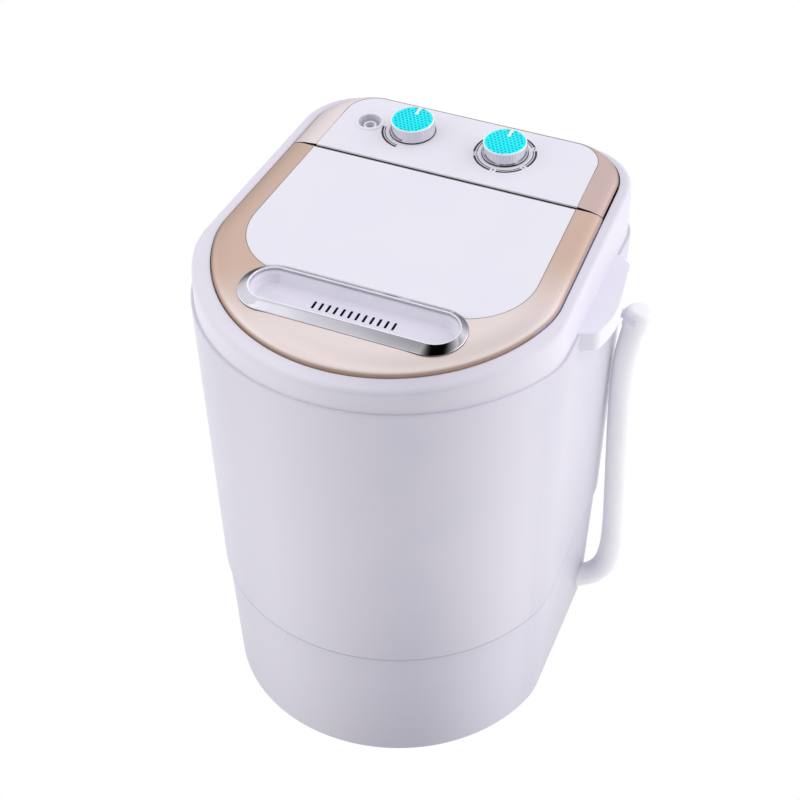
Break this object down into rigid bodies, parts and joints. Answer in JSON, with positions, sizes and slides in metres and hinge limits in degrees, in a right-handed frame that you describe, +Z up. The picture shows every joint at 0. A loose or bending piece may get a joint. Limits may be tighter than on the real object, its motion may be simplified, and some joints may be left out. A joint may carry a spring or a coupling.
{
  "type": "top load washing machine",
  "caption": "Compact top load washing machine: tapered white body, hinged lid with a chrome framed grip cup, rear control panel with rotary knobs, water inlet, and a drain hose at the side.",
  "frame": {"origin": "on the floor, under the middle of the body from front to back and side to side", "axes": "+Z up, front with the lid handle towards -Y, drain hose on the +X side"},
  "size_m": [0.4091, 0.4044, 0.5456],
  "materials": {
    "white_plastic": "satin white polypropylene",
    "gold_trim": "champagne metallic lacquer",
    "chrome_trim": "bright plating",
    "cup_plastic": "pale lilac plastic",
    "cap_plastic": "cyan cap",
    "pointer_plastic": "white pointer",
    "hose_plastic": "milky flexible PVC",
    "rubber": "black rubber",
    "steel": "zinc plated steel",
    "motor_paint": "dark enamel",
    "aluminium_cast": "cast aluminium",
    "bronze": "sintered bronze",
    "pulley_plastic": "glass filled nylon",
    "pulsator_plastic": "pale blue polypropylene",
    "control_plastic": "dark phenolic",
    "capacitor_plastic": "grey white can",
    "cable_sleeve": "black sleeving"
  },
  "bodies": {
    "cabinet": {"base_skirt": "white_plastic", "rubber_feet": "rubber", "body_shell": "white_plastic", "wash_tub": "white_plastic", "drain_grille": "cup_plastic", "bearing_housing": "aluminium_cast", "shaft_bushes": "bronze", "shaft_seal": "rubber", "drive_belt": "rubber", "motor_case": "motor_paint", "motor_stator": "steel", "motor_mounts": "rubber", "motor_bolts": "steel", "drive_chassis": "steel", "chassis_screws": "steel", "capacitor": "capacitor_plastic", "capacitor_strap": "steel", "drain_pipe": "hose_plastic", "drain_hose": "hose_plastic", "hose_cap": "hose_plastic", "hose_clip": "white_plastic", "top_rim": "white_plastic", "grip_left": "white_plastic", "grip_right": "white_plastic", "panel_frame": "gold_trim", "control_fascia": "white_plastic", "hinge_pins": "steel", "lid_buffers": "rubber", "wash_timer": "control_plastic", "selector_switch": "control_plastic", "water_inlet": "white_plastic", "inlet_spout": "white_plastic", "wiring_harness": "cable_sleeve", "cord_gland": "rubber"},
    "lid": {"lid_frame": "gold_trim", "lid_panel": "white_plastic", "handle_cup": "cup_plastic", "handle_bezel": "chrome_trim"},
    "timer_knob": {"timer_knob_skirt": "chrome_trim", "timer_knob_cap": "cap_plastic", "timer_knob_pointer": "pointer_plastic", "timer_knob_shaft": "steel"},
    "selector_knob": {"selector_knob_skirt": "chrome_trim", "selector_knob_cap": "cap_plastic", "selector_knob_pointer": "pointer_plastic", "selector_knob_shaft": "steel"},
    "agitator": {"pulsator": "pulsator_plastic", "pulsator_screw": "steel", "drive_shaft": "steel", "driven_pulley": "pulley_plastic", "pulley_nut": "steel"},
    "rotor": {"motor_rotor": "steel", "motor_shaft": "steel", "motor_pulley": "aluminium_cast"}
  },
  "joints": [
    {"name": "lid_hinge", "type": "hinge", "parent": "cabinet", "child": "lid", "pos_m": [0, 0.09095, 0.52016], "axis": [-1, 0, 0], "range_deg": [0, 95]},
    {"name": "timer_turn", "type": "hinge", "parent": "cabinet", "child": "timer_knob", "pos_m": [0.042, 0.14796, 0.52957], "axis": [0, 0.0837, -0.9965], "range_deg": [0, 300]},
    {"name": "selector_turn", "type": "hinge", "parent": "cabinet", "child": "selector_knob", "pos_m": [-0.0552, 0.14896, 0.52965], "axis": [0, 0.0837, -0.9965], "range_deg": [-150, 0]},
    {"name": "pulsator_spin", "type": "hinge", "parent": "cabinet", "child": "agitator", "pos_m": [0, -0.011, 0.18], "axis": [0, 0, 1], "continuous": true},
    {"name": "motor_spin", "type": "hinge", "parent": "cabinet", "child": "rotor", "pos_m": [-0.072, 0.081, 0.1], "axis": [0, 0, 1], "continuous": true}
  ],
  "couplings": [
    {"joint": "motor_spin", "follows": "pulsator_spin", "ratio": 3.4719}
  ]
}
